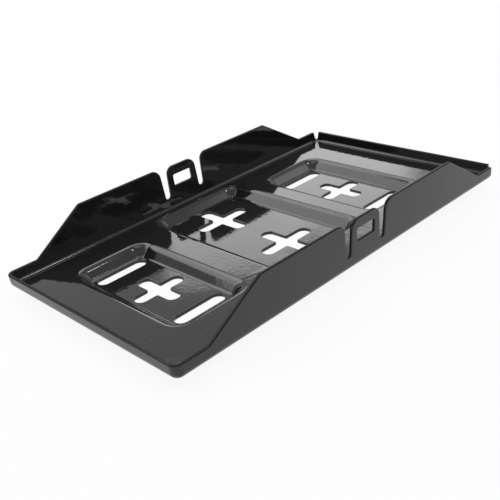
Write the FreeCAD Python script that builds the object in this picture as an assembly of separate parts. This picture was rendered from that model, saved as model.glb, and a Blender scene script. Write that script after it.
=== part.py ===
# Car battery tray: one sheet of steel, pressed, pierced and folded up on all four sides.
#
# Millimetres. X runs along the tray, Y across it, Z up. The origin is the middle of the footprint
# on the plane that the tray stands on, which is the underside of its three pressed recesses.
# The long walls are at +Y and -Y. Each has two high wings with a strap tab between them.

import FreeCAD, Part
import math
import os

V = FreeCAD.Vector

# Sheet and folds
SHEET = 2.5              # thickness with its coat
FOLD_INSIDE = 2.5        # inside radius where a wall turns up
WALL_LEAN = 4.0          # degrees that every wall leans outwards
CORNER_INSIDE = 3.0      # inside plan radius of the base's corners

# Footprint over the folds, at the underside of the base
TRAY_LENGTH = 325.0
TRAY_WIDTH = 182.0

# Heights above the upper face of the base
FLANGE_HEIGHT = 8.0      # the low edge all round
WING_HEIGHT = 34.0       # the high parts of the long walls
TAB_HEIGHT = 32.8        # the strap tabs

# Outline of a long wall, distances along X
FLANGE_RUN = 24.5        # low edge at each end, before the slope starts
SLOPE_RUN = 42.0         # length of the slope up to the wing
WING_CORNER = 2.0        # radius at both ends of the slope
WING_END = 7.0           # radius of the wing's corner beside the tab
TAB_WIDTH = 28.0         # at the top
TAB_SPREAD = 1.0         # each side of the tab moves out by this much down to the notch bottom
TAB_CORNER = 7.0         # radius of the tab's top corners
NOTCH_TOP = 7.4          # notch beside the tab, width at the wing's top
NOTCH_BOTTOM = 5.0       # width at its bottom
NOTCH_ROUND = 2.4        # radius at its bottom
NOTCH_FLOOR = 8.0        # height of its bottom above the base
WINDOW_WIDTH = 18.0      # strap window in the tab
WINDOW_HEIGHT = 8.8
WINDOW_MIDDLE = 21.0     # height of its middle above the base
WINDOW_CORNER = 1.2

# The two corners at +X are open: each wall stops short, more at the top than at the fold
SLIT_FLOOR = 1.2         # height above the base where the slit starts
SLIT_AT_FOLD = 1.0       # how far a wall stops short there
SLIT_AT_TOP = 2.7        # and at the top of the low edge

# Pressed recesses, measured at the sharp meeting of slope and base
RECESS_DEPTH = 7.0
RECESS_SLOPE = 45.0      # degrees of the sides from the base
RECESS_CORNER = 10.8     # plan radius of the corners at the rim
PRESS_INSIDE = 3.0       # inside radius of the bend at the floor
RIM_INSIDE = 6.0         # and of the softer bend at the rim
END_RECESS_LENGTH = 60.0     # along X
END_RECESS_WIDTH = 113.5     # along Y
END_RECESS_NEAR = 99.0       # middle of the recess at -X, from the tray's middle
END_RECESS_FAR = 92.0        # middle of the recess at +X, from the tray's middle
MID_RECESS_LENGTH = 86.0
MID_RECESS_WIDTH = 135.5
MID_RECESS_MARGIN = 3.8      # from its rim to the start of the fold of the +Y wall
RECESS_FRONT_STEP = 2.0      # the end recesses' rim at -Y, back from the middle one's

# Holes through the recess floors
SLOT_LENGTH = 40.0
SLOT_WIDTH = 10.0
SLOT_FROM_RIM = 15.0     # from an end recess's rim to the middle of the slot
END_CROSS_SPAN = 39.0    # tip to tip
MID_CROSS_SPAN = 46.0
CROSS_ARM = 10.0         # width of an arm
CROSS_TIP = 4.6          # radius of the tips' corners
CROSS_INNER = 1.5        # radius where two arms meet
MID_CROSS_STEP = 68.0    # between the middles of the two crosses in the middle recess

# Worked out from the values above
LEAN = math.tan(math.radians(WALL_LEAN))
SHEET_LEVEL = SHEET / math.cos(math.radians(WALL_LEAN))      # sheet measured level through a wall
BASE_UNDER = RECESS_DEPTH                                    # underside of the base
BASE_TOP = BASE_UNDER + SHEET
WING_TOP = BASE_TOP + WING_HEIGHT
SPARE = 5.0                                                  # how far a cutter runs past the metal
LEVEL_TOLERANCE = 1e-4                                       # for picking edges at a height
PRESS_COT = 1.0 / math.tan(math.radians(RECESS_SLOPE))
FOLD_START = TRAY_WIDTH / 2.0 - SHEET - FOLD_INSIDE          # Y where the base's flat face ends
MID_RECESS_BACK = FOLD_START - MID_RECESS_MARGIN
MID_RECESS_Y = MID_RECESS_BACK - MID_RECESS_WIDTH / 2.0
END_RECESS_Y = MID_RECESS_BACK - MID_RECESS_WIDTH + RECESS_FRONT_STEP + END_RECESS_WIDTH / 2.0


def four_corners(a, b, radius):
    """Corners of a rectangle with half sides a and b, counter-clockwise."""
    return [(-a, -b, radius), (a, -b, radius), (a, b, radius), (-a, b, radius)]


def rounded_wire(corners, place):
    """Closed wire through corners (a, b, radius); place(a, b) gives the point in space."""
    points = [place(a, b) for a, b, _ in corners]
    ends = []
    count = len(corners)
    for i in range(count):
        before = (points[i - 1] - points[i]).normalize()
        after = (points[(i + 1) % count] - points[i]).normalize()
        half = before.getAngle(after) / 2.0
        radius = corners[i][2]
        reach = radius / math.tan(half)
        to_middle = (before + after).normalize()
        crown = points[i] + to_middle * (radius / math.sin(half) - radius)
        ends.append((points[i] + before * reach, crown, points[i] + after * reach, radius))
    edges = []
    for i in range(count):
        start, crown, end, radius = ends[i]
        if radius > 0:
            edges.append(Part.Arc(start, crown, end).toShape())
        following = ends[(i + 1) % count][0]
        if (following - end).Length > 1e-6:
            edges.append(Part.LineSegment(end, following).toShape())
    return Part.Wire(edges)


def level_rectangle(x_middle, y_middle, length, width, radius, z):
    """Rounded rectangle lying level at height z."""
    corners = four_corners(length / 2.0, width / 2.0, radius)
    return rounded_wire(corners, lambda u, v: V(x_middle + u, y_middle + v, z))


def edges_at(shape, z):
    """Edges of a shape that lie level at height z."""
    level = []
    for edge in shape.Edges:
        box = edge.BoundBox
        if abs(box.ZMin - z) < LEVEL_TOLERANCE and abs(box.ZMax - z) < LEVEL_TOLERANCE:
            level.append(edge)
    return level


def leaning_block(inset, floor, corner, fold):
    """Solid tub, filled in: rounded rectangle whose sides lean out, with a rounded bottom edge."""
    rise = WING_TOP + SPARE - floor
    grow = 2.0 * rise * LEAN
    low = level_rectangle(0, 0, TRAY_LENGTH - inset, TRAY_WIDTH - inset, corner, floor)
    high = level_rectangle(
        0, 0, TRAY_LENGTH - inset + grow, TRAY_WIDTH - inset + grow, corner + grow / 2.0, floor + rise)
    block = Part.makeLoft([low, high], True, True)
    return block.makeFillet(fold, edges_at(block, floor))


def tub():
    """The sheet drawn up on all four sides to the full height of the wings."""
    outside = leaning_block(0.0, BASE_UNDER, CORNER_INSIDE + SHEET, FOLD_INSIDE + SHEET)
    inset = 2.0 * (SHEET_LEVEL - SHEET * LEAN)
    inside = leaning_block(inset, BASE_TOP, CORNER_INSIDE, FOLD_INSIDE)
    return outside.cut(inside)


def wall_outline():
    """What is kept of the tub, seen from the side: flanges, slopes, wings, notches and tab."""
    end = TRAY_LENGTH / 2.0 + WING_TOP
    flange = BASE_TOP + FLANGE_HEIGHT
    wing = BASE_TOP + WING_HEIGHT
    tab = BASE_TOP + TAB_HEIGHT
    notch = BASE_TOP + NOTCH_FLOOR
    slope_foot = TRAY_LENGTH / 2.0 - FLANGE_RUN
    slope_head = slope_foot - SLOPE_RUN
    tab_top = TAB_WIDTH / 2.0
    tab_foot = tab_top + TAB_SPREAD
    wing_foot = tab_foot + NOTCH_BOTTOM
    wing_head = tab_top + NOTCH_TOP
    right = [
        (end, -SPARE, 0.0),
        (end, flange, 0.0),
        (slope_foot, flange, WING_CORNER),
        (slope_head, wing, WING_CORNER),
        (wing_head, wing, WING_END),
        (wing_foot, notch, NOTCH_ROUND),
        (tab_foot, notch, NOTCH_ROUND),
        (tab_top, tab, TAB_CORNER),
    ]
    left = [(-x, z, r) for x, z, r in reversed(right)]
    wire = rounded_wire(right + left, lambda x, z: V(x, -TRAY_WIDTH, z))
    return Part.Face(wire).extrude(V(0, 2.0 * TRAY_WIDTH, 0))


def strap_windows():
    """Cutter for the windows of both tabs."""
    middle = BASE_TOP + WINDOW_MIDDLE
    corners = four_corners(WINDOW_WIDTH / 2.0, WINDOW_HEIGHT / 2.0, WINDOW_CORNER)
    wire = rounded_wire(corners, lambda x, z: V(x, -TRAY_WIDTH, middle + z))
    return Part.Face(wire).extrude(V(0, 2.0 * TRAY_WIDTH, 0))


def corner_slits():
    """Cutters that open the two corners at +X, wider at the top than at the fold."""
    fold_short = SLIT_AT_FOLD - SLIT_FLOOR * LEAN
    top_short = SLIT_AT_TOP - FLANGE_HEIGHT * LEAN
    spread = (top_short - fold_short) / (FLANGE_HEIGHT - SLIT_FLOOR)
    rise = FLANGE_HEIGHT + SPARE - SLIT_FLOOR
    inner_x = TRAY_LENGTH / 2.0 - SHEET
    inner_y = TRAY_WIDTH / 2.0 - SHEET
    reach = WING_TOP
    cutters = []
    for side in (-1, 1):
        wires = []
        for short, z in ((fold_short, SLIT_FLOOR), (fold_short + spread * rise, SLIT_FLOOR + rise)):
            x0 = inner_x - short
            y0 = side * (inner_y - short)
            x1 = inner_x + reach
            y1 = side * (inner_y + reach)
            height = BASE_TOP + z
            points = [V(x0, y0, height), V(x1, y0, height), V(x1, y1, height), V(x0, y1, height)]
            if side < 0:
                points.reverse()
            wires.append(Part.makePolygon(points + points[:1]))
        cutters.append(Part.makeLoft(wires, True, True))
    return cutters


def pressing(x_middle, y_middle, length, width):
    """One recess as two solids: the metal under it and the hollow above it."""
    level = SHEET / math.sin(math.radians(RECESS_SLOPE))

    def ring(z, grow):
        shift = grow + z * PRESS_COT
        radius = RECESS_CORNER + shift
        return level_rectangle(
            x_middle, y_middle, length + 2.0 * shift, width + 2.0 * shift, radius, BASE_TOP + z)

    hollow = Part.makeLoft([ring(-RECESS_DEPTH, 0.0), ring(SHEET, 0.0)], True, True)
    hollow = hollow.makeFillet(PRESS_INSIDE, edges_at(hollow, BASE_TOP - RECESS_DEPTH))
    under = -RECESS_DEPTH - SHEET
    metal = Part.makeLoft([ring(under, level), ring(-SHEET / 2.0, level)], True, True)
    metal = metal.makeFillet(PRESS_INSIDE + SHEET, edges_at(metal, BASE_TOP + under))
    return metal, hollow


def through_floor(wire):
    """Cutter through a recess floor from a level wire below it."""
    return Part.Face(wire).extrude(V(0, 0, SHEET + 2.0 * SPARE))


def slot(x_middle, y_middle):
    """Bolt slot along X with round ends."""
    a = SLOT_LENGTH / 2.0 - SLOT_WIDTH / 2.0
    r = SLOT_WIDTH / 2.0
    z = -SPARE
    edges = [
        Part.LineSegment(V(x_middle - a, y_middle - r, z), V(x_middle + a, y_middle - r, z)).toShape(),
        Part.Arc(V(x_middle + a, y_middle - r, z), V(x_middle + a + r, y_middle, z),
                 V(x_middle + a, y_middle + r, z)).toShape(),
        Part.LineSegment(V(x_middle + a, y_middle + r, z), V(x_middle - a, y_middle + r, z)).toShape(),
        Part.Arc(V(x_middle - a, y_middle + r, z), V(x_middle - a - r, y_middle, z),
                 V(x_middle - a, y_middle - r, z)).toShape(),
    ]
    return through_floor(Part.Wire(edges))


def cross(x_middle, y_middle, span):
    """Cross hole with rounded tips."""
    a = span / 2.0
    w = CROSS_ARM / 2.0
    quarter = [(a, w, CROSS_TIP), (w, w, CROSS_INNER), (w, a, CROSS_TIP)]
    corners = []
    for turn in range(4):
        for x, y, r in quarter:
            for _ in range(turn):
                x, y = -y, x
            corners.append((x, y, r))
    return through_floor(rounded_wire(corners, lambda x, y: V(x_middle + x, y_middle + y, -SPARE)))


def recess_plans():
    """Middle and size of the three recesses, from -X to +X."""
    return [
        (-END_RECESS_NEAR, END_RECESS_Y, END_RECESS_LENGTH, END_RECESS_WIDTH),
        (0.0, MID_RECESS_Y, MID_RECESS_LENGTH, MID_RECESS_WIDTH),
        (END_RECESS_FAR, END_RECESS_Y, END_RECESS_LENGTH, END_RECESS_WIDTH),
    ]


def floor_holes():
    """Slots and crosses of all three recesses."""
    near, middle, far = recess_plans()
    cutters = []
    for x, y, _, width in (near, far):
        offset = width / 2.0 - SLOT_FROM_RIM
        cutters += [slot(x, y - offset), cross(x, y, END_CROSS_SPAN), slot(x, y + offset)]
    for side in (-0.5, 0.5):
        cutters.append(cross(middle[0], middle[1] + side * MID_CROSS_STEP, MID_CROSS_SPAN))
    return cutters


def rim_edges(body, plan, z):
    """Sharp edges round one recess at height z, to be rounded as a bend."""
    x_middle, y_middle, length, width = plan
    rim = []
    for edge in edges_at(body, z):
        middle = edge.BoundBox.Center
        inside_x = abs(middle.x - x_middle) < length / 2.0 + SHEET
        inside_y = abs(middle.y - y_middle) < width / 2.0 + SHEET
        if inside_x and inside_y:
            rim.append(edge)
    return rim


def battery_tray():
    """The whole tray."""
    body = tub().common(wall_outline())
    body = body.cut(corner_slits() + [strap_windows()])
    pressed = [pressing(*plan) for plan in recess_plans()]
    body = body.fuse([metal for metal, _ in pressed])
    body = body.cut([hollow for _, hollow in pressed]).removeSplitter()
    bends = ((BASE_TOP, RIM_INSIDE + SHEET), (BASE_UNDER, RIM_INSIDE))
    rims = []
    for plan in recess_plans():
        for z, radius in bends:
            rims.append((rim_edges(body, plan, z), radius))
    for rim, radius in rims:
        body = body.makeFillet(radius, rim)
    return body.cut(floor_holes())


if __name__ == "__main__":
    os.makedirs("parts", exist_ok=True)
    tray = battery_tray()
    solid = tray.Solids[0]
    solid.exportStep("parts/battery_tray.step")
    box = solid.optimalBoundingBox()
    print("solids", len(tray.Solids), "valid", solid.isValid(), "volume", round(solid.Volume, 1))
    print("size", round(box.XLength, 2), round(box.YLength, 2), round(box.ZLength, 2))
    print("lowest point", round(box.ZMin, 4))
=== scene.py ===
"""Car battery tray in gloss black powder coat, lit in a plain pale studio.

The tray is one pressed and folded sheet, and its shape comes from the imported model. This script
rounds the cut edges as the coat does, gives the sheet its finish, and sets the floor, the lights and
the camera. Lengths are in metres unless a name ends in _mm.
"""

import logging
import math
from dataclasses import dataclass
from enum import Enum

import bpy
import numpy as np
from mathutils import Matrix, Vector


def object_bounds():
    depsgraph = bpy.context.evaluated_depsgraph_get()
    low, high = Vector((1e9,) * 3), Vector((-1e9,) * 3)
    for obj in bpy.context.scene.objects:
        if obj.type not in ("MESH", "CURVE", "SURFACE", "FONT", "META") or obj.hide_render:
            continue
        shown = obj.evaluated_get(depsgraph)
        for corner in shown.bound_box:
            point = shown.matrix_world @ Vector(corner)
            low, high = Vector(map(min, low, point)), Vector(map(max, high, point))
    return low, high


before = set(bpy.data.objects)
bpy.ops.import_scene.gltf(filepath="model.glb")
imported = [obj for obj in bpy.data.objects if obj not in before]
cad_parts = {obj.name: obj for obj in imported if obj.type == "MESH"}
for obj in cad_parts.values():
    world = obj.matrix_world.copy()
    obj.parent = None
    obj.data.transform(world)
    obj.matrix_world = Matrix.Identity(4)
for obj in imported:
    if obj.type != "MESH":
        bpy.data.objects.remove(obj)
CAD_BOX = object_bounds()

LOG = logging.getLogger("battery_tray")
MM = 0.001
NODE = "battery_tray"
PHOTO_SIDE = 500

NodeInput = float | tuple[float, ...] | bpy.types.NodeSocket


class Ray(Enum):
    """Kinds of ray that see the plain pale surroundings."""

    CAMERA = "Is Camera Ray"
    GLOSSY = "Is Glossy Ray"
    TRANSMISSION = "Is Transmission Ray"


def linear(hex_colour: str) -> tuple[float, float, float, float]:
    """Turn an sRGB hex colour into linear RGBA.

    Each channel up to 0.04045 is divided by 12.92, and above it (c + 0.055) / 1.055 is raised to
    the power 2.4.

    Args:
        hex_colour: six hex digits after a hash sign.

    Returns:
        Red, green, blue and an alpha of one.
    """
    code = hex_colour.lstrip("#")
    srgb = np.array([int(code[i:i + 2], 16) for i in (0, 2, 4)]) / 255.0
    straight = np.where(srgb <= 0.04045, srgb / 12.92, ((srgb + 0.055) / 1.055) ** 2.4)
    return (float(straight[0]), float(straight[1]), float(straight[2]), 1.0)


def add_node(tree: bpy.types.NodeTree, kind: str, settings: dict[str, object] | None = None,
             inputs: dict[str | int, NodeInput] | None = None) -> bpy.types.Node:
    """Add a node with its settings, socket values and links.

    Args:
        tree: node tree that takes the node.
        kind: the node's type name.
        settings: attributes to set on the node.
        inputs: socket name or number to a value, or to an output socket to link from.

    Returns:
        The new node.
    """
    node = tree.nodes.new(kind)
    for name, value in (settings or {}).items():
        setattr(node, name, value)
    for name, value in (inputs or {}).items():
        if isinstance(value, bpy.types.NodeSocket):
            tree.links.new(value, node.inputs[name])
        else:
            node.inputs[name].default_value = value
    return node


def ramp(tree: bpy.types.NodeTree, value: NodeInput, low: float, high: float,
         at_low: float, at_high: float, kind: str = "LINEAR") -> bpy.types.NodeSocket:
    """Carry a value from one range to another, and hold it at the ends.

    Args:
        tree: node tree that takes the node.
        value: what is carried over.
        low: start of its range.
        high: end of its range.
        at_low: the result at the start.
        at_high: the result at the end.
        kind: LINEAR, or SMOOTHSTEP for soft ends.

    Returns:
        The result's socket.
    """
    node = add_node(tree, "ShaderNodeMapRange", {"interpolation_type": kind}, {
        "Value": value, "From Min": low, "From Max": high, "To Min": at_low, "To Max": at_high})
    return node.outputs["Result"]


def combine(tree: bpy.types.NodeTree, operation: str, first: NodeInput,
            second: NodeInput = 0.0) -> bpy.types.NodeSocket:
    """Do one sum on two values.

    Args:
        tree: node tree that takes the node.
        operation: the sum's name.
        first: the first value.
        second: the second value, unused where the sum takes one.

    Returns:
        The result's socket.
    """
    node = add_node(tree, "ShaderNodeMath", {"operation": operation}, {0: first, 1: second})
    return node.outputs[0]


def seen_by(tree: bpy.types.NodeTree, rays: tuple[Ray, ...]) -> bpy.types.NodeSocket:
    """One where the ray is of one of these kinds, and nought elsewhere.

    Args:
        tree: node tree that takes the nodes.
        rays: the kinds of ray.

    Returns:
        The socket with the answer.
    """
    path = add_node(tree, "ShaderNodeLightPath")
    answer = path.outputs[rays[0].value]
    for ray in rays[1:]:
        answer = combine(tree, "MAXIMUM", answer, path.outputs[ray.value])
    return answer


@dataclass(frozen=True)
class PowderCoat:
    """Gloss black polyester powder coat, sprayed dry on the pressed steel sheet and baked.

    The powder melts to a glossy film that keeps a fine orange peel, follows the slow waves that
    pressing leaves in the sheet, and holds a few specks of dust that were baked in. On the walls'
    cut tops it draws back and is dull.
    """

    name: str = "gloss_black_powder_coat"
    colour: str = "#1c1c1d"
    ior: float = 1.5
    roughness: float = 0.055
    smoothest: float = 0.75
    roughest: float = 1.3
    haze_low: float = 0.3
    haze_high: float = 0.7
    haze_detail: float = 3.0
    gloss: float = 0.5
    edge_gloss: float = 0.1
    edge_from_mm: float = 16.0
    edge_to_mm: float = 16.8
    edge_lean: float = 0.2
    edge_flat: float = 0.5
    wave_mm: float = 38.0
    wave_depth_mm: float = 0.25
    wave_detail: float = 1.0
    peel_mm: float = 3.4
    peel_depth_mm: float = 0.04
    peel_detail: float = 2.0
    peel_roughness: float = 0.45
    speck_mm: float = 5.5
    speck_depth_mm: float = 0.05
    speck_reach: float = 0.07

    def material(self) -> bpy.types.Material:
        """Build the finish.

        Returns:
            The material, with all its patterns on object coordinates.
        """
        made = bpy.data.materials.new(self.name)
        made.use_nodes = True
        tree = made.node_tree
        tree.nodes.clear()
        place = add_node(tree, "ShaderNodeTexCoord").outputs["Object"]
        shader = add_node(tree, "ShaderNodeBsdfPrincipled", inputs={
            "Base Color": linear(self.colour),
            "IOR": self.ior,
            "Specular IOR Level": self._gloss(tree, place),
            "Roughness": self._haze(tree, place),
            "Normal": self._relief(tree, place),
        })
        add_node(tree, "ShaderNodeOutputMaterial", inputs={"Surface": shader.outputs["BSDF"]})
        return made

    def _gloss(self, tree: bpy.types.NodeTree,
               place: bpy.types.NodeSocket) -> bpy.types.NodeSocket:
        """Gloss of the film: full on the sheet's faces, and dull on the walls' cut tops.

        A cut top is where the surface is higher than the fold and faces up.

        Args:
            tree: the material's node tree.
            place: object coordinates.

        Returns:
            The specular level's socket.
        """
        height = add_node(tree, "ShaderNodeSeparateXYZ", inputs={0: place}).outputs["Z"]
        facing = add_node(tree, "ShaderNodeNewGeometry").outputs["Normal"]
        upward = add_node(tree, "ShaderNodeSeparateXYZ", inputs={0: facing}).outputs["Z"]
        above = ramp(tree, height, self.edge_from_mm * MM, self.edge_to_mm * MM, 0.0, 1.0)
        flat = ramp(tree, upward, self.edge_lean, self.edge_flat, 0.0, 1.0)
        cut = combine(tree, "MULTIPLY", above, flat)
        return ramp(tree, cut, 0.0, 1.0, self.gloss, self.edge_gloss)

    def _haze(self, tree: bpy.types.NodeTree,
              place: bpy.types.NodeSocket) -> bpy.types.NodeSocket:
        """Roughness that drifts a little from place to place, as film thickness does.

        Args:
            tree: the material's node tree.
            place: object coordinates.

        Returns:
            The roughness socket.
        """
        drift = add_node(tree, "ShaderNodeTexNoise", inputs={
            "Vector": place, "Scale": 1.0 / (self.wave_mm * MM), "Detail": self.haze_detail})
        return ramp(tree, drift.outputs["Fac"], self.haze_low, self.haze_high,
                    self.roughness * self.smoothest, self.roughness * self.roughest)

    def _relief(self, tree: bpy.types.NodeTree,
                place: bpy.types.NodeSocket) -> bpy.types.NodeSocket:
        """Surface relief: pressing waves, then orange peel, then baked-in dust.

        Args:
            tree: the material's node tree.
            place: object coordinates.

        Returns:
            The normal socket.
        """
        waves = add_node(tree, "ShaderNodeTexNoise", inputs={
            "Vector": place, "Scale": 1.0 / (self.wave_mm * MM), "Detail": self.wave_detail})
        peel = add_node(tree, "ShaderNodeTexNoise", inputs={
            "Vector": place, "Scale": 1.0 / (self.peel_mm * MM), "Detail": self.peel_detail,
            "Roughness": self.peel_roughness})
        dust = add_node(tree, "ShaderNodeTexVoronoi", inputs={
            "Vector": place, "Scale": 1.0 / (self.speck_mm * MM)})
        specks = ramp(tree, dust.outputs["Distance"], 0.0, self.speck_reach, 1.0, 0.0)
        layers = (
            (waves.outputs["Fac"], self.wave_depth_mm),
            (peel.outputs["Fac"], self.peel_depth_mm),
            (specks, self.speck_depth_mm),
        )
        normal: dict[str, NodeInput] = {}
        for pattern, depth_mm in layers:
            bump = add_node(tree, "ShaderNodeBump", inputs={
                "Height": pattern, "Distance": depth_mm * MM, "Strength": 1.0, **normal})
            normal = {"Normal": bump.outputs["Normal"]}
        return normal["Normal"]


@dataclass(frozen=True)
class PaleFloor:
    """Matt white paper sweep. It looks almost evenly white, with a soft shadow."""

    name: str = "white_paper_sweep"
    colour: str = "#fafafa"
    roughness: float = 0.9
    even_white: float = 0.92

    def material(self) -> bpy.types.Material:
        """Build the paper: part evenly white where it is looked at, part lit by the lamps.

        Returns:
            The material.
        """
        made = bpy.data.materials.new(self.name)
        made.use_nodes = True
        tree = made.node_tree
        tree.nodes.clear()
        paper = add_node(tree, "ShaderNodeBsdfPrincipled", inputs={
            "Base Color": linear(self.colour), "Roughness": self.roughness})
        glow = add_node(tree, "ShaderNodeEmission", inputs={"Strength": 1.0})
        share = combine(tree, "MULTIPLY", seen_by(tree, tuple(Ray)), self.even_white)
        mixed = add_node(tree, "ShaderNodeMixShader", inputs={
            0: share, 1: paper.outputs["BSDF"], 2: glow.outputs[0]})
        add_node(tree, "ShaderNodeOutputMaterial", inputs={"Surface": mixed.outputs[0]})
        return made


@dataclass
class Tray:
    """The folded sheet. Its solid carries the shape, and this adds the softness of coated edges."""

    edge_mm: float = 0.75
    edge_steps: int = 3
    sharp_degrees: float = 40.0
    flat_degrees: float = 0.4
    weld_mm: float = 0.001
    coat: PowderCoat = PowderCoat()

    def build(self, node: bpy.types.Object) -> bpy.types.Object:
        """Round the cut edges and dress the sheet.

        Args:
            node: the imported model's sheet.

        Returns:
            The same object.
        """
        self._round_edges(node)
        self._dress(node)
        return node

    def _round_edges(self, node: bpy.types.Object) -> None:
        """Weld the facets, round every sharp edge to the coat's radius and even out the shading.

        Args:
            node: the sheet.
        """
        weld = node.modifiers.new("weld", "WELD")
        weld.merge_threshold = self.weld_mm * MM
        join = node.modifiers.new("joined_flats", "DECIMATE")
        join.decimate_type = "DISSOLVE"
        join.angle_limit = math.radians(self.flat_degrees)
        round_over = node.modifiers.new("coated_edges", "BEVEL")
        round_over.width = self.edge_mm * MM
        round_over.segments = self.edge_steps
        round_over.limit_method = "ANGLE"
        round_over.angle_limit = math.radians(self.sharp_degrees)
        round_over.use_clamp_overlap = False
        round_over.miter_outer = "MITER_ARC"
        shade = node.modifiers.new("even_shading", "WEIGHTED_NORMAL")
        shade.mode = "FACE_AREA"
        shade.keep_sharp = False

    def _dress(self, node: bpy.types.Object) -> None:
        """Give the sheet its coat.

        Args:
            node: the sheet.
        """
        coat = self.coat.material()
        for slot in node.material_slots:
            slot.material = coat


@dataclass(frozen=True)
class Softbox:
    """A flat lamp that faces a point of the tray.

    Azimuth runs from +Y towards +X, and both angles are in degrees. Distance, width, height and
    feather, the depth of the soft rim, are in metres.
    """

    name: str
    azimuth: float
    elevation: float
    distance: float
    width: float
    height: float
    radiance: float
    feather: float = 0.1

    def build(self, aim: Vector) -> bpy.types.Object:
        """Hang the lamp.

        The lamp stands at distance along (sin a cos e, cos a cos e, sin e) from the aim, where a is
        the azimuth and e the elevation, and faces the aim.

        Args:
            aim: the point that the lamp faces.

        Returns:
            The lamp.
        """
        a = math.radians(self.azimuth)
        e = math.radians(self.elevation)
        away = Vector((math.sin(a) * math.cos(e), math.cos(a) * math.cos(e), math.sin(e)))
        light = bpy.data.lights.new(self.name, "AREA")
        light.shape = "RECTANGLE"
        light.size = self.width
        light.size_y = self.height
        light.energy = self.radiance * math.pi * self.width * self.height
        self._soften(light)
        lamp = bpy.data.objects.new(self.name, light)
        lamp.location = aim + away * self.distance
        lamp.rotation_euler = away.to_track_quat("Z", "Y").to_euler()
        bpy.context.scene.collection.objects.link(lamp)
        return lamp

    def _soften(self, light: bpy.types.Light) -> None:
        """Let the cloth fade towards its rim, as a softbox's does.

        With x the distance from the middle along a side, from 0 to 0.5 of that side, the strength
        falls smoothly from 1 at x = 0.5 minus the feather's share of the side to 0 at x = 0.5, and
        the values for both sides are multiplied.

        Args:
            light: the lamp's data.
        """
        light.use_nodes = True
        tree = light.node_tree
        tree.nodes.clear()
        across = add_node(tree, "ShaderNodeNewGeometry").outputs["Parametric"]
        sides = add_node(tree, "ShaderNodeSeparateXYZ", inputs={0: across})
        shares = []
        for side, length in enumerate((self.width, self.height)):
            centred = combine(tree, "SUBTRACT", sides.outputs[side], 0.5)
            away = combine(tree, "ABSOLUTE", centred)
            shares.append(ramp(tree, away, 0.5 - self.feather / length, 0.5, 1.0, 0.0,
                               "SMOOTHSTEP"))
        strength = combine(tree, "MULTIPLY", shares[0], shares[1])
        glow = add_node(tree, "ShaderNodeEmission", inputs={"Strength": strength})
        add_node(tree, "ShaderNodeOutputLight", inputs={"Surface": glow.outputs[0]})


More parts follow.
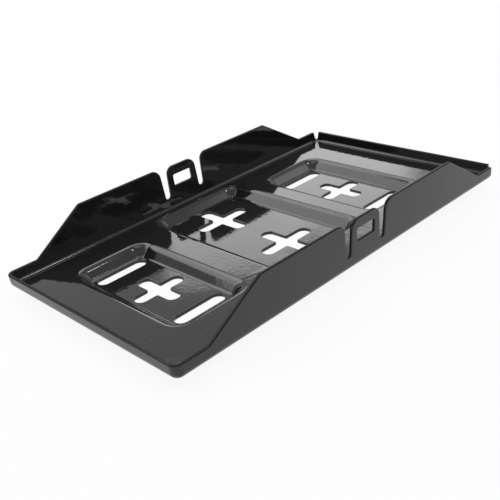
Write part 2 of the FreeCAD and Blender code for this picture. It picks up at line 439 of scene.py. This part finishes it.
@dataclass
class Studio:
    """Pale floor, pale surroundings and soft lamps."""

    floor_side: float = 14.0
    floor_cells: int = 8
    world_strength: float = 0.55
    seen_strength: float = 1.0
    paper: PaleFloor = PaleFloor()
    lamps: tuple[Softbox, ...] = (
        Softbox("back_left_softbox", 39.3, 23.0, 2.2, 0.61, 0.58, 1.95, 0.12),
        Softbox("back_right_softbox", 52.3, 21.7, 2.2, 0.56, 0.475, 1.95, 0.12),
        Softbox("high_left_softbox", -18.0, 46.0, 2.2, 1.75, 1.0, 2.5, 0.14),
        Softbox("high_back_softbox", 31.0, 48.7, 2.2, 1.35, 0.98, 2.3, 0.10),
        Softbox("right_softbox", 112.0, 36.0, 2.2, 1.3, 1.2, 1.6, 0.45),
        Softbox("top_softbox", 0.0, 85.0, 1.8, 0.9, 0.9, 1.2),
        Softbox("front_key", -170.0, 58.0, 2.2, 0.25, 0.25, 16.0, 0.05),
        Softbox("right_key", 132.0, 63.0, 2.2, 0.35, 0.25, 20.0, 0.03),
    )

    def build(self) -> None:
        """Lay the floor, light the surroundings and hang the lamps."""
        self._floor()
        self._surroundings()
        low, high = CAD_BOX
        middle = (low + high) / 2
        for lamp in self.lamps:
            lamp.build(middle)
            LOG.info("lamp %s", lamp.name)

    def _floor(self) -> bpy.types.Object:
        """Lay the paper at the tray's lowest point.

        The surface is (u, v) scaled to the floor's side and centred, at one height, with u and v on
        an even grid from 0 to 1.

        Returns:
            The floor.
        """
        count = self.floor_cells
        steps = (np.linspace(0.0, 1.0, count + 1) - 0.5) * self.floor_side
        x, y = np.meshgrid(steps, steps)
        points = np.stack((x.ravel(), y.ravel(), np.full(x.size, CAD_BOX[0].z)), 1)
        first = (np.arange(count)[:, None] * (count + 1) + np.arange(count)).ravel()
        faces = np.stack((first, first + 1, first + count + 2, first + count + 1), 1)
        mesh = bpy.data.meshes.new("floor")
        mesh.from_pydata(points.tolist(), [], faces.tolist())
        mesh.materials.append(self.paper.material())
        floor = bpy.data.objects.new("floor", mesh)
        bpy.context.scene.collection.objects.link(floor)
        return floor

    def _surroundings(self) -> None:
        """Pale where they are looked at or mirrored, and a soft plain light for all else.

        The colour is the background node's own light grey, 0.8 of white at full strength.
        """
        world = bpy.data.worlds.new("pale_room")
        bpy.context.scene.world = world
        world.use_nodes = True
        tree = world.node_tree
        tree.nodes.clear()
        strength = ramp(tree, seen_by(tree, tuple(Ray)), 0.0, 1.0,
                        self.world_strength, self.seen_strength)
        back = add_node(tree, "ShaderNodeBackground", inputs={"Strength": strength})
        add_node(tree, "ShaderNodeOutputWorld", inputs={"Surface": back.outputs[0]})


@dataclass(frozen=True)
class Viewpoint:
    """The photograph's camera, solved from the tray's own edges. Angles are in degrees."""

    east_mm: float = -345.33
    north_mm: float = -367.97
    height_mm: float = 247.43
    azimuth: float = 41.167
    elevation: float = -26.849
    roll: float = -7.508
    focal_px: float = 758.39
    centre_x_px: float = 244.96
    centre_y_px: float = 249.86
    sensor_mm: float = 36.0
    nearest: float = 0.01
    farthest: float = 50.0

    def build(self) -> bpy.types.Object:
        """Set up the camera.

        The view direction is (sin a cos e, cos a cos e, sin e). The level right vector and its up
        vector are then turned about it by the roll.

        Returns:
            The camera.
        """
        a = math.radians(self.azimuth)
        e = math.radians(self.elevation)
        turn = math.radians(self.roll)
        ahead = Vector((math.sin(a) * math.cos(e), math.cos(a) * math.cos(e), math.sin(e)))
        level = Vector((math.cos(a), -math.sin(a), 0.0))
        upright = level.cross(ahead)
        right = level * math.cos(turn) + upright * math.sin(turn)
        up = right.cross(ahead)
        data = bpy.data.cameras.new("camera")
        data.sensor_width = self.sensor_mm
        data.lens = self.focal_px / PHOTO_SIDE * self.sensor_mm
        data.shift_x = (PHOTO_SIDE / 2 - self.centre_x_px) / PHOTO_SIDE
        data.shift_y = (self.centre_y_px - PHOTO_SIDE / 2) / PHOTO_SIDE
        data.clip_start = self.nearest
        data.clip_end = self.farthest
        camera = bpy.data.objects.new("camera", data)
        turned = Matrix((right, up, -ahead)).transposed().to_4x4()
        place = Vector((self.east_mm, self.north_mm, self.height_mm)) * MM
        camera.matrix_world = Matrix.Translation(place) @ turned
        bpy.context.scene.collection.objects.link(camera)
        bpy.context.scene.camera = camera
        return camera


def main() -> None:
    """Dress the tray, then set the studio and the camera."""
    logging.basicConfig(level=logging.INFO, format="%(name)s: %(message)s")
    bpy.context.scene.view_settings.view_transform = "Standard"
    tray = Tray().build(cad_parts[NODE])
    LOG.info("piece %s with %s", tray.name, PowderCoat.name)
    Studio().build()
    Viewpoint().build()


if __name__ == "__main__":
    main()
